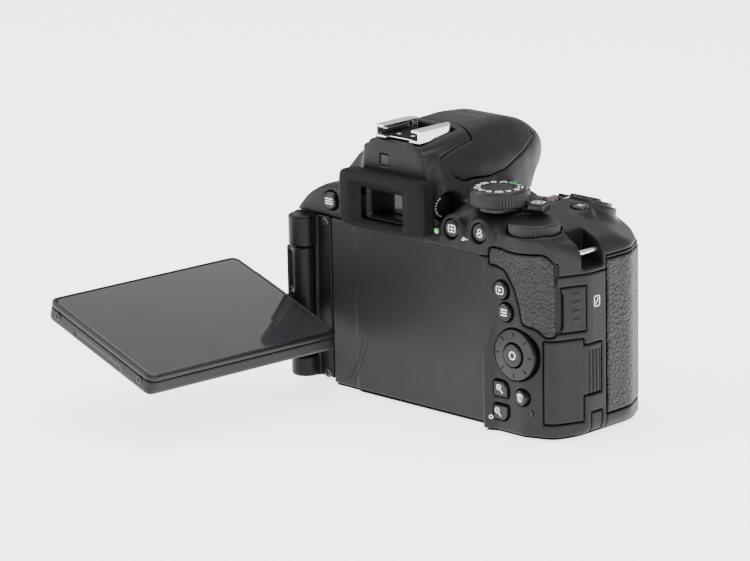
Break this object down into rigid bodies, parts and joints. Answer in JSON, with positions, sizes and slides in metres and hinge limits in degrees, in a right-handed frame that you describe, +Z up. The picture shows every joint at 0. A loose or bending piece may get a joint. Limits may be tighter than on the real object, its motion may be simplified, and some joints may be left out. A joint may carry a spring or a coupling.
{
  "type": "digital single-lens reflex camera body",
  "caption": "Compact DSLR body with a swing-out tilting screen, pop-up flash, dials, keys, reflex mirror, doors and a lens mount.",
  "frame": {"origin": "on the flat base, below the optical axis, at the image plane", "axes": "+X to the right seen from behind, +Y along the optical axis to the lens, +Z up"},
  "size_m": [0.159, 0.1526, 0.0974],
  "materials": {
    "front_cover": "fine-grained black polycarbonate moulding",
    "rear_cover": "fine-grained black polycarbonate moulding",
    "top_cover": "fine-grained black polycarbonate moulding",
    "base_cover": "fine-grained black polycarbonate moulding",
    "hinge_mount": "black painted metal",
    "grip_rubber": "black rubber with a leather-like grain",
    "thumb_rubber": "black rubber with a leather-like grain",
    "lens_mount_ring": "bare stainless steel",
    "mirror_box": "fine-grained black polycarbonate moulding",
    "focusing_screen": "polished clear cover",
    "pentamirror": "silvered",
    "shutter_unit": "black painted metal",
    "image_sensor": "filter glass over the sensor",
    "main_board": "green circuit board",
    "eyepiece_frame": "fine-grained black polycarbonate moulding",
    "eyepiece_lens": "polished clear cover",
    "eyecup": "soft matt black rubber",
    "eye_sensor_window": "satin black moulded key",
    "hot_shoe": "bare stainless steel",
    "tripod_bush": "turned steel",
    "battery": "fine-grained black polycarbonate moulding",
    "memory_card": "fine-grained black polycarbonate moulding",
    "strap_lug_right": "bare stainless steel",
    "strap_lug_left": "bare stainless steel",
    "screen_shell": "fine-grained black polycarbonate moulding",
    "screen_frame": "fine-grained black polycarbonate moulding",
    "screen_glass": "glossy dark display glass",
    "flash_head": "fine-grained black polycarbonate moulding",
    "flash_lens": "polished clear cover",
    "hinge_arm": "black painted metal",
    "mode_dial": "fine-grained black polycarbonate moulding",
    "live_view_lever": "fine-grained black polycarbonate moulding",
    "command_dial": "fine-grained black polycarbonate moulding",
    "power_collar": "fine-grained black polycarbonate moulding",
    "shutter_button": "satin black moulded key",
    "movie_button": "satin black moulded key",
    "compensation_button": "satin black moulded key",
    "info_button": "satin black moulded key",
    "exposure_lock_button": "satin black moulded key",
    "menu_button": "satin black moulded key",
    "play_button": "satin black moulded key",
    "quick_menu_button": "satin black moulded key",
    "delete_button": "satin black moulded key",
    "selector_gimbal": "fine-grained black polycarbonate moulding",
    "multi_selector": "satin black moulded key",
    "ok_button": "satin black moulded key",
    "zoom_in_button": "satin black moulded key",
    "zoom_out_button": "satin black moulded key",
    "diopter_dial": "fine-grained black polycarbonate moulding",
    "card_door": "fine-grained black polycarbonate moulding",
    "hdmi_cover": "soft matt black rubber",
    "terminal_cover": "soft matt black rubber",
    "power_cable_flap": "soft matt black rubber",
    "battery_door": "fine-grained black polycarbonate moulding",
    "battery_latch": "fine-grained black polycarbonate moulding",
    "reflex_mirror": "silvered",
    "sub_mirror": "silvered",
    "lens_release_button": "satin black moulded key",
    "lens_lock_pin": "bare stainless steel",
    "flash_button": "satin black moulded key"
  },
  "bodies": {
    "camera": {"front_cover": "front_cover", "rear_cover": "rear_cover", "top_cover": "top_cover", "base_cover": "base_cover", "hinge_mount": "hinge_mount", "grip_rubber": "grip_rubber", "thumb_rubber": "thumb_rubber", "lens_mount_ring": "lens_mount_ring", "mirror_box": "mirror_box", "focusing_screen": "focusing_screen", "pentamirror": "pentamirror", "shutter_unit": "shutter_unit", "image_sensor": "image_sensor", "main_board": "main_board", "eyepiece_frame": "eyepiece_frame", "eyepiece_lens": "eyepiece_lens", "eyecup": "eyecup", "eye_sensor_window": "eye_sensor_window", "hot_shoe": "hot_shoe", "tripod_bush": "tripod_bush", "battery": "battery", "memory_card": "memory_card", "strap_lug_right": "strap_lug_right", "strap_lug_left": "strap_lug_left"},
    "screen": {"screen_shell": "screen_shell", "screen_frame": "screen_frame", "screen_glass": "screen_glass"},
    "flash": {"flash_head": "flash_head", "flash_lens": "flash_lens"},
    "hinge_arm": {"hinge_arm": "hinge_arm"},
    "mode_dial": {"mode_dial": "mode_dial"},
    "live_view_lever": {"live_view_lever": "live_view_lever"},
    "command_dial": {"command_dial": "command_dial"},
    "power_collar": {"power_collar": "power_collar"},
    "shutter_button": {"shutter_button": "shutter_button"},
    "movie_button": {"movie_button": "movie_button"},
    "compensation_button": {"compensation_button": "compensation_button"},
    "info_button": {"info_button": "info_button"},
    "exposure_lock_button": {"exposure_lock_button": "exposure_lock_button"},
    "menu_button": {"menu_button": "menu_button"},
    "play_button": {"play_button": "play_button"},
    "quick_menu_button": {"quick_menu_button": "quick_menu_button"},
    "delete_button": {"delete_button": "delete_button"},
    "selector_gimbal": {"selector_gimbal": "selector_gimbal"},
    "multi_selector": {"multi_selector": "multi_selector"},
    "ok_button": {"ok_button": "ok_button"},
    "zoom_in_button": {"zoom_in_button": "zoom_in_button"},
    "zoom_out_button": {"zoom_out_button": "zoom_out_button"},
    "diopter_dial": {"diopter_dial": "diopter_dial"},
    "card_door": {"card_door": "card_door"},
    "hdmi_cover": {"hdmi_cover": "hdmi_cover"},
    "terminal_cover": {"terminal_cover": "terminal_cover"},
    "power_cable_flap": {"power_cable_flap": "power_cable_flap"},
    "battery_door": {"battery_door": "battery_door"},
    "battery_latch": {"battery_latch": "battery_latch"},
    "reflex_mirror": {"reflex_mirror": "reflex_mirror"},
    "sub_mirror": {"sub_mirror": "sub_mirror"},
    "lens_release_button": {"lens_release_button": "lens_release_button"},
    "lens_lock_pin": {"lens_lock_pin": "lens_lock_pin"},
    "flash_button": {"flash_button": "flash_button"}
  },
  "joints": [
    {"name": "screen_swing", "type": "hinge", "parent": "camera", "child": "hinge_arm", "pos_m": [-0.047, -0.015, 0.0295], "axis": [0, 0, 1], "range_deg": [-85.5, 14]},
    {"name": "screen_rotate", "type": "hinge", "parent": "hinge_arm", "child": "screen", "pos_m": [-0.04989, -0.01477, 0.0295], "axis": [-0.0785, -0.9969, 0], "range_deg": [-163.2, 106.8]},
    {"name": "flash_lift", "type": "hinge", "parent": "camera", "child": "flash", "pos_m": [0, -0.002, 0.088], "axis": [1, 0, 0], "range_deg": [0, 65]},
    {"name": "mode_dial_turn", "type": "hinge", "parent": "camera", "child": "mode_dial", "pos_m": [0.039, -0.008, 0.078], "axis": [0, 0, 1], "continuous": true},
    {"name": "live_view_lever_turn", "type": "hinge", "parent": "camera", "child": "live_view_lever", "pos_m": [0.039, -0.008, 0.0745], "axis": [0, 0, 1], "range_deg": [0, 15], "stiffness_Nm_per_rad": 0.02},
    {"name": "command_dial_turn", "type": "hinge", "parent": "camera", "child": "command_dial", "pos_m": [0.056, -0.0095, 0.07], "axis": [0, 0, 1], "continuous": true},
    {"name": "power_collar_turn", "type": "hinge", "parent": "camera", "child": "power_collar", "pos_m": [0.047, 0.026, 0.0715], "axis": [0, 0.309, 0.9511], "range_deg": [0, 30]},
    {"name": "shutter_press", "type": "slide", "parent": "camera", "child": "shutter_button", "axis": [0, -0.309, -0.9511], "range_m": [0, 0.0012], "stiffness_N_per_m": 200},
    {"name": "movie_press", "type": "slide", "parent": "camera", "child": "movie_button", "axis": [0, 0, -1], "range_m": [0, 0.0008], "stiffness_N_per_m": 100},
    {"name": "compensation_press", "type": "slide", "parent": "camera", "child": "compensation_button", "axis": [0, 0, -1], "range_m": [0, 0.0008], "stiffness_N_per_m": 100},
    {"name": "menu_press", "type": "slide", "parent": "camera", "child": "menu_button", "axis": [0, 1, 0], "range_m": [0, 0.0006], "stiffness_N_per_m": 100},
    {"name": "info_press", "type": "slide", "parent": "camera", "child": "info_button", "axis": [0, 1, 0], "range_m": [0, 0.0006], "stiffness_N_per_m": 100},
    {"name": "exposure_lock_press", "type": "slide", "parent": "camera", "child": "exposure_lock_button", "axis": [0, 1, 0], "range_m": [0, 0.0006], "stiffness_N_per_m": 100},
    {"name": "play_press", "type": "slide", "parent": "camera", "child": "play_button", "axis": [0, 1, 0], "range_m": [0, 0.0006], "stiffness_N_per_m": 100},
    {"name": "quick_menu_press", "type": "slide", "parent": "camera", "child": "quick_menu_button", "axis": [0, 1, 0], "range_m": [0, 0.0006], "stiffness_N_per_m": 100},
    {"name": "delete_press", "type": "slide", "parent": "camera", "child": "delete_button", "axis": [0, 1, 0], "range_m": [0, 0.0006], "stiffness_N_per_m": 100},
    {"name": "zoom_in_press", "type": "slide", "parent": "camera", "child": "zoom_in_button", "axis": [0, 1, 0], "range_m": [0, 0.0006], "stiffness_N_per_m": 100},
    {"name": "zoom_out_press", "type": "slide", "parent": "camera", "child": "zoom_out_button", "axis": [0, 1, 0], "range_m": [0, 0.0006], "stiffness_N_per_m": 100},
    {"name": "flash_button_press", "type": "slide", "parent": "camera", "child": "flash_button", "axis": [0, -1, 0], "range_m": [0, 0.0008], "stiffness_N_per_m": 100},
    {"name": "selector_left_right", "type": "hinge", "parent": "camera", "child": "selector_gimbal", "pos_m": [0.0546, -0.0152, 0.0284], "axis": [0, 0, 1], "range_deg": [-2.5, 2.5], "stiffness_Nm_per_rad": 0.05},
    {"name": "selector_up_down", "type": "hinge", "parent": "selector_gimbal", "child": "multi_selector", "pos_m": [0.0546, -0.0165, 0.0284], "axis": [1, 0, 0], "range_deg": [-2.5, 2.5], "stiffness_Nm_per_rad": 0.05},
    {"name": "ok_press", "type": "slide", "parent": "camera", "child": "ok_button", "axis": [0, 1, 0], "range_m": [0, 0.0005], "stiffness_N_per_m": 100},
    {"name": "diopter_turn", "type": "hinge", "parent": "camera", "child": "diopter_dial", "pos_m": [0.0165, -0.0132, 0.072], "axis": [1, 0, 0], "range_deg": [-120, 120]},
    {"name": "card_door_swing", "type": "hinge", "parent": "camera", "child": "card_door", "pos_m": [0.0649, -0.0162, 0.02], "axis": [0, 0, -1], "range_deg": [0, 100]},
    {"name": "hdmi_cover_swing", "type": "hinge", "parent": "camera", "child": "hdmi_cover", "pos_m": [0.0733, -0.0027, 0.044], "axis": [0, 0, 1], "range_deg": [0, 110]},
    {"name": "terminal_cover_swing", "type": "hinge", "parent": "camera", "child": "terminal_cover", "pos_m": [-0.0522, 0.0055, 0.032], "axis": [0, 0, -1], "range_deg": [0, 100]},
    {"name": "power_cable_flap_swing", "type": "hinge", "parent": "camera", "child": "power_cable_flap", "pos_m": [0.0733, -0.0009, 0.005], "axis": [0, 0, -1], "range_deg": [0, 90]},
    {"name": "battery_door_swing", "type": "hinge", "parent": "camera", "child": "battery_door", "pos_m": [0.0462, 0.012, 0.0004], "axis": [0, 1, 0], "range_deg": [0, 95]},
    {"name": "battery_latch_slide", "type": "slide", "parent": "camera", "child": "battery_latch", "axis": [-1, 0, 0], "range_m": [0, 0.002], "stiffness_N_per_m": 60},
    {"name": "mirror_flip", "type": "hinge", "parent": "camera", "child": "reflex_mirror", "pos_m": [0, 0.009, 0.051], "axis": [1, 0, 0], "range_deg": [0, 45], "stiffness_Nm_per_rad": 0.01},
    {"name": "sub_mirror_fold", "type": "hinge", "parent": "reflex_mirror", "child": "sub_mirror", "pos_m": [0, 0.018, 0.0396], "axis": [1, 0, 0], "range_deg": [0, 80.1]},
    {"name": "lens_release_press", "type": "slide", "parent": "camera", "child": "lens_release_button", "axis": [0, -1, 0], "range_m": [0, 0.003], "stiffness_N_per_m": 150},
    {"name": "lens_lock_pin_slide", "type": "slide", "parent": "camera", "child": "lens_lock_pin", "axis": [0, -1, 0], "range_m": [0, 0.0018]}
  ],
  "couplings": [
    {"joint": "sub_mirror_fold", "follows": "mirror_flip", "ratio": 1.7778},
    {"joint": "lens_lock_pin_slide", "follows": "lens_release_press", "ratio": 0.6}
  ]
}
